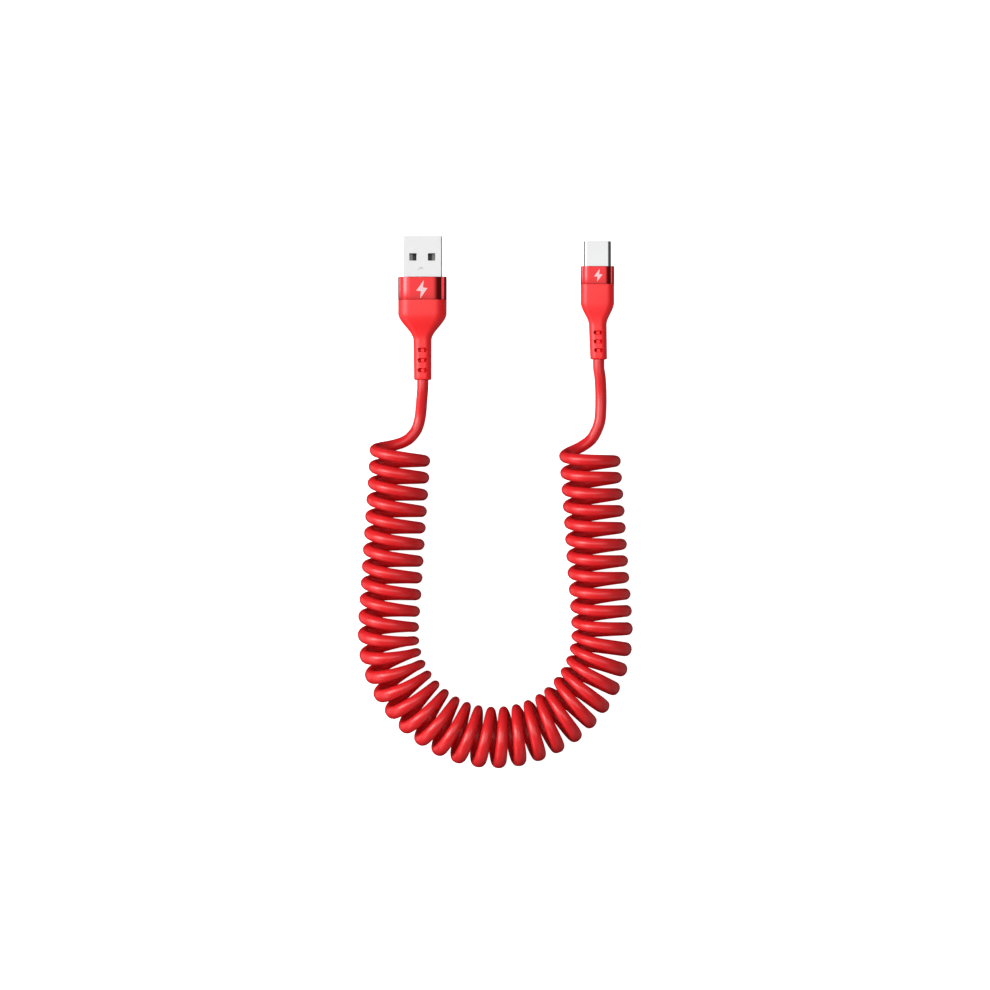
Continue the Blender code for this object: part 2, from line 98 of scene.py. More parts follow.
# Routes of the straight ends, from each plug's cord exit to the winding. The first two values are
# measured from that exit, to the right and upwards in the picture. The third is the height above the
# floor.
LEAD_A = (
    (0.0001, 0.0000, 0.0040), (0.0001, -0.0026, 0.0040), (-0.0002, -0.0061, 0.0032),
    (-0.0004, -0.0084, 0.0025), (-0.0006, -0.0105, 0.0020), (-0.0010, -0.0127, 0.0018),
    (-0.0017, -0.0149, 0.0018), (-0.0029, -0.0167, 0.0019), (-0.0043, -0.0181, 0.0018),
    (-0.0061, -0.0191, 0.0018), (-0.0079, -0.0197, 0.0021), (-0.0099, -0.0202, 0.0028),
    (-0.0120, -0.0206, 0.0043), (-0.0136, -0.0210, 0.0064), (-0.0143, -0.0214, 0.0090),
)
LEAD_C = (
    (0.0004, 0.0000, 0.0031), (0.0004, -0.0026, 0.0031), (0.0008, -0.0052, 0.0029),
    (0.0010, -0.0079, 0.0023), (0.0011, -0.0107, 0.0019), (0.0011, -0.0135, 0.0018),
    (0.0010, -0.0164, 0.0019), (0.0007, -0.0192, 0.0019), (-0.0004, -0.0221, 0.0020),
    (-0.0018, -0.0244, 0.0018), (-0.0039, -0.0261, 0.0019), (-0.0062, -0.0274, 0.0026),
    (-0.0082, -0.0283, 0.0041), (-0.0096, -0.0291, 0.0063), (-0.0101, -0.0296, 0.0089),
)


@dataclass(frozen=True)
class NeckForm:
    """Sizes of a plug's strain relief and its flexing slots."""

    width: float
    end_width: float
    thickness: float
    corner: float
    length: float
    taper_length: float
    body_corner: float
    slot_width: float
    slot_height: float
    slot_pitch: float
    first_slot: float
    sideways: float


NECK_A = NeckForm(
    width=0.0055, end_width=0.0053, thickness=0.0052, corner=0.0022, length=0.0121, taper_length=0.0083,
    body_corner=0.0036, slot_width=0.0028, slot_height=0.00115, slot_pitch=0.0031, first_slot=0.0029,
    sideways=0.0001)
NECK_C = NeckForm(
    width=0.0054, end_width=0.0051, thickness=0.0049, corner=0.0021, length=0.0105, taper_length=0.0070,
    body_corner=0.0023, slot_width=0.0026, slot_height=0.00105, slot_pitch=0.00273, first_slot=0.0027,
    sideways=0.0004)


@dataclass(frozen=True)
class CollarForm:
    """Sizes of a collar's domed pads, one on each broad face, and of the shoulders beside them.

    The tilt in degrees is that of the pad's edge, and a larger power keeps more of its middle flat.
    """

    pad_width: float
    pad_tilt: float
    pad_power: float
    shoulder_corner: float


COLLAR_A = CollarForm(pad_width=0.01175, pad_tilt=33.0, pad_power=1.8, shoulder_corner=0.0010)
COLLAR_C = CollarForm(pad_width=0.00815, pad_tilt=38.0, pad_power=2.2, shoulder_corner=0.0008)
PAD_STEPS = 30
SHOULDER_DROP = 0.00004
SHOULDER_DROP_WIDTH = 0.00001
SHOULDER_STEPS = 8
COLLAR_FRONT_ROUNDING = 0.00014
COLLAR_EDGE_STEP_DEGREES = 15

# Moulded grips. A slot is bridged by the cord in its middle and falls to its deepest beside it.
CROWN = 0.12
SEAM_GAP = 0.00002
SEAM_ROUNDING = 0.00006
NECK_ROUNDING = 0.00045
NECK_BEND_POWER = 1.4
CORD_HOLE_GAP = 0.00012
CORD_HOLE_DEPTH = 0.0006
SHELL_FIT = 0.00015
SLOTS_PER_FACE = 3
SLOT_BRIDGE = 0.00045
SLOT_FALL = 0.00050
SLOT_DEEPEST = 0.00025
SLOT_RIM = 0.00009

# Fineness of the plugs' meshes
SHARP_DEGREES = 40
CORNER_STEPS = 16
ROUND_SECTION_SPARE = 1e-6
SHORTEST_STRETCH = 1e-12
GRIP_POINTS = 200
SLOT_RING_STEP = 0.00009
NECK_END_STEPS = 6
NECK_STEPS = 6
TAPER_STEPS = 28
BODY_STEPS = 3
SEAM_STEPS = 3

# Metal shells, the latch windows of the USB-A shell and the small crescent pressed behind them
A_SHELL_WALL = 0.0003
A_SHELL_CORNER = 0.00035
C_SHELL_WALL = 0.00025
C_SHELL_CORNER = 0.00122
SHELL_CORNER_STEPS = 12
SHELL_LIP = 0.00008
SHELL_LIP_TURNS = (0, 30, 60, 90)
CUT_ROUNDING = 0.00004
CUT_ROUNDING_STEPS = 2
CUT_ROUNDING_FROM_DEGREES = 50
A_WINDOW_SIZE = 0.0022
A_WINDOW_SPACING = 0.0057
A_WINDOW_SETBACK = 0.0064
MARK_SETBACK = 0.0098
MARK_SIDEWAYS = -0.0002
MARK_RADIUS = 0.0011
MARK_SPREAD_DEGREES = 84.0
MARK_TILT_DEGREES = 16.0
MARK_WIDTH = 0.00034
MARK_END_SHARE = 0.05
MARK_DEPTH = 0.00016
MARK_STEPS = 12

# Charging bolt of plain proportions, printed on each collar. Its corners are in halves of its width and
# height, and its shift is from the collar's middle.
BOLT_SHAPE = ((0.34, 1.0), (-1.0, -0.15), (-0.16, -0.21), (-0.30, -1.0), (1.0, 0.12), (0.20, 0.21))
BOLT_A_SIZE = (0.0034, 0.0055)
BOLT_C_SIZE = (0.0026, 0.0039)
BOLT_A_SHIFT = (-0.0001, -0.0004)
BOLT_C_SHIFT = (0.0002, -0.0001)
BOLT_PROUD = 0.00002
BOLT_ROOT = 0.00006


@dataclass(frozen=True)
class Softbox:
    """A bright soft-edged panel of the room.

    Left and right are its edges' tilts from overhead, in degrees, front and back its edges' share of Y,
    and fade how many degrees each side edge takes to fade out.
    """

    left: float
    right: float
    front: float
    back: float
    fade: float
    brightness: float


SOFTBOXES = (
    Softbox(left=-63, right=-48, front=-0.02, back=0.34, fade=10, brightness=12.0),
    Softbox(left=-84, right=-36, front=-0.02, back=0.42, fade=18, brightness=3.8),
    Softbox(left=-44, right=31, front=-0.10, back=0.42, fade=24, brightness=2.3),
    Softbox(left=-92, right=-58, front=-0.80, back=-0.06, fade=10, brightness=1.5),
    Softbox(left=-140, right=-98, front=-0.35, back=0.42, fade=10, brightness=0.6),
    Softbox(left=34, right=92, front=-1.10, back=-0.42, fade=10, brightness=0.35),
    Softbox(left=104, right=150, front=-0.60, back=0.42, fade=10, brightness=0.18),
)

# Half of the share of Y that a panel's front and back edges take to fade out
SOFT_EDGE_Y = 0.06

# Brightness of the room round the panels, and of its darker part below the cable. The edge between the
# two is a share of Z, and the softness is half of what it takes to pass from one to the other.
ROOM_BRIGHTNESS = 0.16
BELOW_BRIGHTNESS = 0.012
BELOW_EDGE = -0.55
BELOW_SOFTNESS = 0.20

# Floor
FLOOR_SIZE = 6.0
FLOOR_DROP = 0.0002
FLOOR_GLOW = 0.88


@dataclass(frozen=True)
class Finish:
    """A procedural finish.

    The roughness wanders between smooth and rough, and the colour, where it varies, between dark and
    light. Waves are those of a noise, so many a metre, and detail is how many finer ones it adds. The
    stretch multiplies the waves along each axis.
    """

    name: str
    colour: tuple
    smooth: float
    rough: float
    roughness_waves: float
    roughness_detail: float = 2.0
    dark: tuple = ()
    light: tuple = ()
    colour_waves: float = 0.0
    relief_waves: float = 0.0
    relief_detail: float = 2.0
    relief_strength: float = 0.0
    relief_depth: float = 0.00001
    stretch: tuple = (1.0, 1.0, 1.0)
    metallic: float = 0.0
    coat: float = 0.0
    coat_roughness: float = 0.03


# The cord's satin red elastomer
CORD_JACKET = Finish(
    name="cord_jacket", colour=(0.70, 0.0115, 0.0150), dark=(0.67, 0.0105, 0.0140),
    light=(0.73, 0.0125, 0.0160), colour_waves=260.0, smooth=0.29, rough=0.37, roughness_waves=900.0,
    relief_waves=7000.0, relief_detail=3.0, relief_strength=0.10, relief_depth=0.00002)

# The plugs' soft matt red moulding
GRIP_MOULDING = Finish(
    name="grip_moulding", colour=(0.94, 0.0110, 0.0135), dark=(0.92, 0.0100, 0.0125),
    light=(0.96, 0.0120, 0.0145), colour_waves=200.0, smooth=0.38, rough=0.46, roughness_waves=1200.0,
    relief_waves=9000.0, relief_detail=3.0, relief_strength=0.12, relief_depth=0.00002)

# Glossy red metal of the collars under a clear coat, with a fine grain along its length
RED_METAL = Finish(
    name="anodised_red", colour=(0.38, 0.009, 0.011), metallic=1.0, smooth=0.11, rough=0.18,
    roughness_waves=900.0, relief_waves=900.0, relief_strength=0.02, stretch=(9.0, 1.0, 9.0),
    coat=0.42, coat_roughness=0.06)

# Nickel-plated steel, matt on the USB-A shell and bright on the USB-C shell
MATT_NICKEL = Finish(
    name="matt_nickel", colour=(0.52, 0.52, 0.523), metallic=1.0, smooth=0.34, rough=0.44,
    roughness_waves=1500.0, roughness_detail=3.0, relief_waves=1500.0, relief_detail=3.0,
    relief_strength=0.03)
BRIGHT_NICKEL = Finish(
    name="bright_nickel", colour=(0.36, 0.36, 0.363), metallic=1.0, smooth=0.12, rough=0.18,
    roughness_waves=1500.0, roughness_detail=3.0, relief_waves=1500.0, relief_detail=3.0,
    relief_strength=0.03)

# Black moulded insulators
INSULATOR = Finish(
    name="insulator_black", colour=(0.020, 0.020, 0.022), smooth=0.38, rough=0.55,
    roughness_waves=2500.0, relief_waves=9000.0, relief_strength=0.08)

# Grey plated contacts, darkened well below bare plating as painted shade of the recess under the windows
CONTACT_PLATING_AND_SHADE = Finish(
    name="contact_plating_and_shade", colour=(0.12, 0.117, 0.110), metallic=1.0, smooth=0.24, rough=0.38,
    roughness_waves=3000.0)

# Pale print on the collars
PALE_PRINT = Finish(
    name="pale_print", colour=(0.82, 0.55, 0.56), smooth=0.40, rough=0.55, roughness_waves=4000.0)

# Plain white floor
PALE_FLOOR = Finish(
    name="pale_floor", colour=(0.90, 0.90, 0.90), smooth=0.75, rough=0.85, roughness_waves=30.0)

# The noise of a varied colour: where it starts and ends its way from dark to light, and its detail
DARK_BELOW = 0.3
LIGHT_ABOVE = 0.7
COLOUR_DETAIL = 2.0


def smoothstep(share):
    """A share eased in and out, held between 0 and 1."""
    share = min(max(share, 0.0), 1.0)
    return share * share * (3 - 2 * share)


class Box:
    """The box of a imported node, with its size and middle."""

    def __init__(self, node):
        self.low, self.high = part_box(node)
        self.size = self.high - self.low
        self.middle = (self.low + self.high) / 2


def cord_exit(node):
    """The middle of the strain relief's end, where the cord leaves."""
    box = Box(node)
    return Vector((box.middle.x, box.low.y, box.middle.z))


USB_A_EXIT = cord_exit("usb_a_overmould")
USB_C_EXIT = cord_exit("usb_c_overmould")


def make_camera():
    """A long lens straight above the cable, with the photograph's frame."""
    data = bpy.data.cameras.new("camera")
    camera = bpy.data.objects.new("camera", data)
    bpy.context.scene.collection.objects.link(camera)
    pixel_x, pixel_y = USB_A_EXIT_PIXEL
    x = USB_A_EXIT.x + (PHOTO_MIDDLE - pixel_x) * METRES_PER_PIXEL
    y = USB_A_EXIT.y - (PHOTO_MIDDLE - pixel_y) * METRES_PER_PIXEL
    camera.location = (x, y, CAMERA_HEIGHT)
    data.sensor_width = SENSOR_MM
    data.lens = SENSOR_MM * (CAMERA_HEIGHT - COIL_DIAMETER / 2) / (PHOTO_WIDTH * METRES_PER_PIXEL)
    data.clip_start = CAMERA_NEAR
    data.clip_end = CAMERA_FAR
    bpy.context.scene.camera = camera


def between(points, i, share):
    """A point on the smooth curve through the points, between point i and the next one."""
    before = points[max(i - 1, 0)]
    start = points[i]
    end = points[i + 1]
    after = points[min(i + 2, len(points) - 1)]
    leave = (end - before) / 2
    arrive = (after - start) / 2
    square = share * share
    cube = square * share
    return (
        start * (2 * cube - 3 * square + 1) + leave * (cube - 2 * square + share)
        + end * (3 * square - 2 * cube) + arrive * (cube - square)
    )


def smooth_curve(points, samples):
    """The smooth curve through the points, with so many samples for each of its stretches."""
    curve = [between(points, i, j / samples) for i in range(len(points) - 1) for j in range(samples)]
    return curve + [points[-1]]


class Axis:
    """The wound stretch's axis as a smooth curve measured by its length, straight past its ends."""

    def __init__(self, route):
        self.points = smooth_curve(route, AXIS_SAMPLES)
        self.travelled = [0.0]
        for a, b in zip(self.points, self.points[1:]):
            self.travelled.append(self.travelled[-1] + (b - a).length)
        self.length = self.travelled[-1]

    def at(self, distance):
        """The place and the direction at a distance along the axis."""
        passed = bisect.bisect_right(self.travelled, distance) - 1
        i = min(max(passed, 0), len(self.points) - 2)
        a, b = self.points[i], self.points[i + 1]
        direction = (b - a).normalized()
        return a + direction * (distance - self.travelled[i]), direction


def coil_point(axis, turn):
    """A place on the left-handed winding, and how the cord is squeezed there.

    Turn 0 is the underside of its first turn. The squeeze is a direction, that of the axis, and the
    share by which the cord is thinner that way on the inside of the U's bend. It is negative on the
    outside, where the cord is thicker.
    """
    share = turn / COIL_TURNS
    whole = COIL_STARTS_BEFORE + axis.length + COIL_ENDS_BEYOND
    distance = share * whole - COIL_STARTS_BEFORE
    centre, along = axis.at(distance)
    inward = Vector((-along.y, along.x, 0.0))
    angle = -math.pi / 2 - 2 * math.pi * turn
    radius = (COIL_DIAMETER - CORD_DIAMETER) / 2
    offset = inward * (radius * math.cos(angle)) + Vector((0.0, 0.0, radius * math.sin(angle)))
    lean = Vector((0.0, -COIL_LEAN * offset.z, 0.0))
    turned = axis.at(distance + BEND_REACH)[1] - axis.at(distance - BEND_REACH)[1]
    bend = turned.dot(inward) / (2 * BEND_REACH)
    return centre + offset + lean, (along, BEND_SQUEEZE * bend * radius * math.cos(angle))


def lead_points(exit_point, places):
    """The route's own points of a straight end, from inside the strain relief to the winding."""
    points = [Vector((exit_point.x + x, exit_point.y + y, height)) for x, y, height in places]
    points[0].y += CORD_INSET
    return points


def cord_path():
    """The middle line of the whole cord, from one strain relief to the other, and its squeezes."""
    height = COIL_DIAMETER / 2
    axis = Axis([Vector((USB_A_EXIT.x + x, USB_A_EXIT.y + y, height)) for x, y in COIL_ROUTE])
    first = lead_points(USB_A_EXIT, LEAD_A)
    last = lead_points(USB_C_EXIT, LEAD_C)
    wound = LAST_TURN - FIRST_TURN
    steps = round(wound * POINTS_PER_TURN)
    turns = [FIRST_TURN + wound * i / steps for i in range(steps + 1)]
    winding, squeezes = zip(*[coil_point(axis, turn) for turn in turns])
    path = smooth_curve(first + list(winding) + last[::-1], SAMPLES_PER_POINT)
    free = (Vector((0.0, -1.0, 0.0)), 0.0)
    known = [free] * len(first) + list(squeezes) + [free] * len(last)
    shares = smooth_curve([Vector((share, 0.0, 0.0)) for _, share in known], SAMPLES_PER_POINT)
    axes = smooth_curve([direction for direction, _ in known], SAMPLES_PER_POINT)
    return path, [(direction.normalized(), share.x) for direction, share in zip(axes, shares)]


def skin(name, rings, joined=False):
    """A closed skin through rings of as many points each. Joined closes it end to end as a tube."""
    work = bmesh.new()
    loops = [[work.verts.new(point) for point in ring] for ring in rings]
    pairs = list(zip(loops, loops[1:]))
    if joined:
        pairs.append((loops[-1], loops[0]))
    else:
        work.faces.new(loops[0])
        work.faces.new(loops[-1])
    count = len(rings[0])
    for lower, upper in pairs:
        for i in range(count):
            j = (i + 1) % count
            work.faces.new((lower[i], lower[j], upper[j], upper[i]))
    bmesh.ops.recalc_face_normals(work, faces=work.faces)
    mesh = bpy.data.meshes.new(name)
    work.to_mesh(mesh)
    work.free()
    mesh.shade_smooth()
    mesh.set_sharp_from_angle(angle=math.radians(SHARP_DEGREES))
    obj = bpy.data.objects.new(name, mesh)
    bpy.context.scene.collection.objects.link(obj)
    return obj


def round_cord(name, path, squeezes, diameter, sides):
    """A tube along the path, carried along it without twisting, and round where it isn't squeezed."""
    radius = diameter / 2
    direction = (path[1] - path[0]).normalized()
    side = direction.orthogonal().normalized()
    rings = []
    for i, centre in enumerate(path):
        ahead = path[min(i + 1, len(path) - 1)] - path[max(i - 1, 0)]
        turned = ahead.normalized()
        side = (side - turned * side.dot(turned)).normalized()
        other = turned.cross(side)
        ring = []
        squeezed_along, share = squeezes[i]
        for k in range(sides):
            angle = 2 * math.pi * k / sides
            offset = (side * math.cos(angle) + other * math.sin(angle)) * radius
            ring.append(centre + offset - squeezed_along * (share * offset.dot(squeezed_along)))
        rings.append(ring)
    return skin(name, rings)


def outline(width, height, radius, steps=CORNER_STEPS):
    """Points round a rectangle with round corners, from the middle of its top."""
    across = width / 2 - radius
    up = height / 2 - radius
    corners = ((across, up, 90), (across, -up, 0), (-across, -up, -90), (-across, up, -180))
    points = [(0.0, height / 2)]
    for centre_x, centre_z, start in corners:
        for i in range(steps + 1):
            angle = math.radians(start - 90 * i / steps)
            points.append((centre_x + radius * math.cos(angle), centre_z + radius * math.sin(angle)))
    return points


def travelled_shares(points):
    """How far round a closed outline each of its points lies, from 0 to 1."""
    travelled = [0.0]
    for a, b in zip(points, points[1:] + points[:1]):
        travelled.append(travelled[-1] + math.dist(a, b))
    return [distance / travelled[-1] for distance in travelled[:-1]]


def at_shares(points, shares):
    """Points on a closed outline, so far round it."""
    own = travelled_shares(points) + [1.0]
    closed = points + points[:1]
    result = []
    k = 0
    for share in shares:
        while own[k + 1] < share:
            k += 1
        part = (share - own[k]) / max(own[k + 1] - own[k], SHORTEST_STRETCH)
        a, b = closed[k], closed[k + 1]
        result.append((a[0] + part * (b[0] - a[0]), a[1] + part * (b[1] - a[1])))
    return result


def ring_at(y, points):
    """A ring across the plug, at y along it."""
    return [Vector((x, y, z)) for x, z in points]


def section(y, width, height, radius, crown=0.0):
    """A ring across the grip with round corners, evenly spaced points and domed broad faces."""
    half = width / 2
    even = [i / GRIP_POINTS for i in range(GRIP_POINTS)]
    points = at_shares(outline(width, height, radius), even)
    return ring_at(y, [(x, z * (1 - crown * (x / half) ** 2)) for x, z in points])


def in_slot(x, y, neck):
    """1 inside a flexing slot, 0 outside it, with a soft rim between."""
    half_straight = (neck.slot_width - neck.slot_height) / 2
    past_end = max(abs(x) - half_straight, 0.0)
    nearest = min(
        math.hypot(past_end, y - neck.first_slot - i * neck.slot_pitch) for i in range(SLOTS_PER_FACE))
    return smoothstep(0.5 + (neck.slot_height / 2 - nearest) / (2 * SLOT_RIM))


def sink_slots(ring, neck):
    """The ring with its top and underside sunk where a slot passes: to the cord's height in its
    middle and deeper beside it.
    """
    cord_radius = CORD_DIAMETER / 2
    sunk = []
    for point in ring:
        share = in_slot(point.x, point.y, neck) if abs(point.x) < neck.slot_width else 0.0
        if share > 0 and abs(point.z) > cord_radius / 2:
            beside = smoothstep((abs(point.x) - SLOT_BRIDGE) / SLOT_FALL)
            floor = cord_radius + beside * (SLOT_DEEPEST - cord_radius)
            height = abs(point.z) * (1 - share) + floor * share
            point = Vector((point.x, point.y, math.copysign(height, point.z)))
        sunk.append(point)
    return sunk


def bent_sideways(ring, neck):
    """The ring moved sideways with the strain relief, more and more towards the cord."""
    free = neck.length + neck.taper_length
    share = max(1 - ring[0].y / free, 0.0)
    return [point + Vector((neck.sideways * share**NECK_BEND_POWER, 0.0, 0.0)) for point in ring]


def grip(name, node, collar_node, shell_node, neck, shell_corner):
    """The moulded grip and strain relief, with its slots, its cord hole and the shell's pocket."""
    body = Box(node)
    shell = Box(shell_node)
    width, _, thickness = body.size
    length = Box(collar_node).low.y - body.low.y - SEAM_GAP
    hole = CORD_DIAMETER + 2 * CORD_HOLE_GAP
    rim = SEAM_ROUNDING

    def round_section(y, diameter):
        return section(y, diameter, diameter, diameter / 2 - ROUND_SECTION_SPARE)

    def blend(y, share, inset=0.0):
        """A ring of the strain relief at share 0, of the body at 1, and of a form between them."""
        narrow = neck.end_width + (neck.width - neck.end_width) * min(y / neck.length, 1.0)
        across = narrow + share * (width - narrow) - 2 * inset
        up = neck.thickness + share * (thickness - neck.thickness) - 2 * inset
        corner = neck.corner + share * (neck.body_corner - neck.corner) - inset
        return section(y, across, up, corner, CROWN * share)

    rings = [
        round_section(CORD_HOLE_DEPTH, hole),
        round_section(rim, hole),
        round_section(0.0, hole + 2 * rim),
    ]
    for i in range(NECK_END_STEPS + 1):
        angle = math.radians(90 * i / NECK_END_STEPS)
        inset = NECK_ROUNDING * (1 - math.sin(angle))
        rings.append(blend(NECK_ROUNDING * (1 - math.cos(angle)), 0.0, inset))
    first_edge = neck.first_slot - neck.slot_height
    last_edge = neck.first_slot + (SLOTS_PER_FACE - 1) * neck.slot_pitch + neck.slot_height
    steps = round((last_edge - first_edge) / SLOT_RING_STEP)
    for i in range(steps + 1):
        y = first_edge + (last_edge - first_edge) * i / steps
        rings.append(sink_slots(blend(y, 0.0), neck))
    for i in range(1, NECK_STEPS):
        rings.append(blend(last_edge + (neck.length - last_edge) * i / NECK_STEPS, 0.0))
    for i in range(TAPER_STEPS + 1):
        share = i / TAPER_STEPS
        rings.append(blend(neck.length + neck.taper_length * share, smoothstep(share)))
    body_start = neck.length + neck.taper_length
    for i in range(1, BODY_STEPS + 1):
        rings.append(blend(body_start + (length - rim - body_start) * i / BODY_STEPS, 1.0))
    for i in range(1, SEAM_STEPS + 1):
        angle = math.radians(90 * i / SEAM_STEPS)
        rings.append(blend(length - rim * (1 - math.sin(angle)), 1.0, rim * (1 - math.cos(angle))))
    pocket = (shell.size.x + 2 * SHELL_FIT, shell.size.z + 2 * SHELL_FIT, shell_corner + SHELL_FIT)
    pocket_back = shell.low.y - body.low.y - 2 * SHELL_FIT
    rings.append(section(length, *pocket))
    rings.append(section(pocket_back, *pocket))
    obj = skin(name, [bent_sideways(ring, neck) for ring in rings])
    obj.location = cord_exit(node)
    return obj


def collar_outline(width, thickness, form):
    """Points round a collar from the middle of its top: domed pads, then a shoulder on each side."""
    half_pad = form.pad_width / 2
    step = half_pad / PAD_STEPS
    height = thickness / 2
    quarter = [(0.0, height)]
    for i in range(PAD_STEPS):
        tilt = math.radians(form.pad_tilt) * ((i + 0.5) / PAD_STEPS) ** form.pad_power
        height -= step * math.tan(tilt)
        quarter.append(((i + 1) * step, height))
    height -= SHOULDER_DROP
    corner = form.shoulder_corner
    across = width / 2 - corner
    quarter.append((half_pad + SHOULDER_DROP_WIDTH, height))
    for i in range(SHOULDER_STEPS + 1):
        angle = math.radians(90 - 90 * i / SHOULDER_STEPS)
        quarter.append((across + corner * math.cos(angle), height - corner + corner * math.sin(angle)))
    right = quarter + [(x, -z) for x, z in quarter[::-1]]
    return right + [(-x, z) for x, z in right[-2:0:-1]]


def drawn_in(points, inset):
    """The outline moved inwards by the inset."""
    count = len(points)
    result = []
    for i, (x, z) in enumerate(points):
        before = points[i - 1]
        after = points[(i + 1) % count]
        along_x, along_z = after[0] - before[0], after[1] - before[1]
        length = math.hypot(along_x, along_z)
        result.append((x + inset * along_z / length, z - inset * along_x / length))
    return result


def collar(name, node, shell_node, form, shell_corner):
    """The metal sleeve: domed pads, shoulders, rounded edges, and the hole for the shell."""
    sleeve = Box(node)
    shell = Box(shell_node)
    width, length, thickness = sleeve.size
    outer = collar_outline(width, thickness, form)
    shares = travelled_shares(outer)
    rings = []
    for turn in range(0, 91, COLLAR_EDGE_STEP_DEGREES):
        angle = math.radians(turn)
        y = SEAM_ROUNDING * (1 - math.cos(angle))
        rings.append(ring_at(y, drawn_in(outer, SEAM_ROUNDING * (1 - math.sin(angle)))))
    for turn in range(90, -1, -COLLAR_EDGE_STEP_DEGREES):
        angle = math.radians(turn)
        y = length - COLLAR_FRONT_ROUNDING * (1 - math.cos(angle))
        rings.append(ring_at(y, drawn_in(outer, COLLAR_FRONT_ROUNDING * (1 - math.sin(angle)))))
    lip = COLLAR_FRONT_ROUNDING / 3
    for y, spare in ((length, lip), (length - lip, 0.0), (0.0, 0.0)):
        fit = SHELL_FIT + spare
        hole = outline(shell.size.x + 2 * fit, shell.size.z + 2 * fit, shell_corner + fit)
        rings.append(ring_at(y, at_shares(hole, shares)))
    obj = skin(name, rings, joined=True)
    obj.location = Vector((sleeve.middle.x, sleeve.low.y, sleeve.middle.z))
    return obj


def shell_ring(y, width, height, radius):
    """A ring across the plug with its points on the round corners only."""
    return ring_at(y, outline(width, height, radius, SHELL_CORNER_STEPS)[1:])


def shell_skin(name, node, wall, corner):
    """A drawn shell, open through, with rounded lips at its front."""
    box = Box(node)
    width, length, height = box.size
    lip = SHELL_LIP
    rings = [shell_ring(0.0, width, height, corner)]
    for turn in SHELL_LIP_TURNS:
        angle = math.radians(turn)
        inset = lip * (1 - math.cos(angle))
        y = length - lip * (1 - math.sin(angle))
        rings.append(shell_ring(y, width - 2 * inset, height - 2 * inset, corner - inset))
    for turn in SHELL_LIP_TURNS[::-1]:
        angle = math.radians(turn)
        inset = wall - lip * (1 - math.cos(angle))
        y = length - lip * (1 - math.sin(angle))
        rings.append(shell_ring(y, width - 2 * inset, height - 2 * inset, corner - inset))
    rings.append(shell_ring(0.0, width - 2 * wall, height - 2 * wall, corner - wall))
    obj = skin(name, rings, joined=True)
    obj.location = Vector((box.middle.x, box.low.y, box.middle.z))
    return obj


def box_cutter(name, low, high):
    """A plain box, used only to cut with."""
    corners = [(low[0], low[2]), (high[0], low[2]), (high[0], high[2]), (low[0], high[2])]
    return skin(name, [ring_at(y, corners) for y in (low[1], high[1])])


def carve(obj, cutters):
    """Cut the cutters out of the object, round the new edges and keep the result as its mesh."""
    for cutter in cutters:
        cutter.location = obj.location
        modifier = obj.modifiers.new(cutter.name, "BOOLEAN")
        modifier.operation = "DIFFERENCE"
        modifier.solver = "EXACT"
        modifier.object = cutter
    rounding = obj.modifiers.new("rounding", "BEVEL")
    rounding.width = CUT_ROUNDING
    rounding.segments = CUT_ROUNDING_STEPS
    rounding.limit_method = "ANGLE"
    rounding.angle_limit = math.radians(CUT_ROUNDING_FROM_DEGREES)
    normals = obj.modifiers.new("normals", "WEIGHTED_NORMAL")
    normals.keep_sharp = True
    bpy.context.view_layer.update()
    graph = bpy.context.evaluated_depsgraph_get()
    carved = bpy.data.meshes.new_from_object(obj.evaluated_get(graph))
    obj.modifiers.clear()
    obj.data = carved
    for cutter in cutters:
        bpy.data.objects.remove(cutter)


def press_mark(box):
    """A cutter for the small crescent pressed into the shell's upper face."""
    middle = Vector((MARK_SIDEWAYS, box.size.y - MARK_SETBACK - MARK_RADIUS, box.size.z / 2))
    up = Vector((0.0, 0.0, MARK_DEPTH))
    rings = []
    for i in range(MARK_STEPS + 1):
        share = i / MARK_STEPS
        half = MARK_WIDTH / 2 * math.sqrt(max(1 - (2 * share - 1) ** 2, MARK_END_SHARE))
        angle = math.radians(90 + MARK_TILT_DEGREES - MARK_SPREAD_DEGREES * (share - 0.5))
        out = Vector((math.cos(angle), math.sin(angle), 0.0))
        inner = middle + out * (MARK_RADIUS - half)
        outer = middle + out * (MARK_RADIUS + half)
        rings.append([inner - up, outer - up, outer + up, inner + up])
    return skin("mark", rings)


def usb_a_shell():
    """The folded steel shell with its latch windows and the pressed mark."""
    shell = shell_skin("usb_a_shell_skin", "usb_a_shell", A_SHELL_WALL, A_SHELL_CORNER)
    box = Box("usb_a_shell")
    half = A_WINDOW_SIZE / 2
    middle = box.size.y - A_WINDOW_SETBACK
    cutters = []
    for side in (-1, 1):
        x = side * A_WINDOW_SPACING / 2
        low = (x - half, middle - half, -box.size.z)
        high = (x + half, middle + half, box.size.z)
        cutters.append(box_cutter(f"window_{side}", low, high))
    cutters.append(press_mark(box))
    carve(shell, cutters)
    return shell


def object_noise(material, waves, detail, stretch):
    """A noise over the object's own coordinates."""
    nodes, links = material.node_tree.nodes, material.node_tree.links
    place = nodes.new("ShaderNodeTexCoord")
    mapping = nodes.new("ShaderNodeMapping")
    mapping.inputs["Scale"].default_value = stretch
    noise = nodes.new("ShaderNodeTexNoise")
    noise.inputs["Scale"].default_value = waves
    noise.inputs["Detail"].default_value = detail
    links.new(place.outputs["Object"], mapping.inputs["Vector"])
    links.new(mapping.outputs["Vector"], noise.inputs["Vector"])
    return noise.outputs["Fac"]


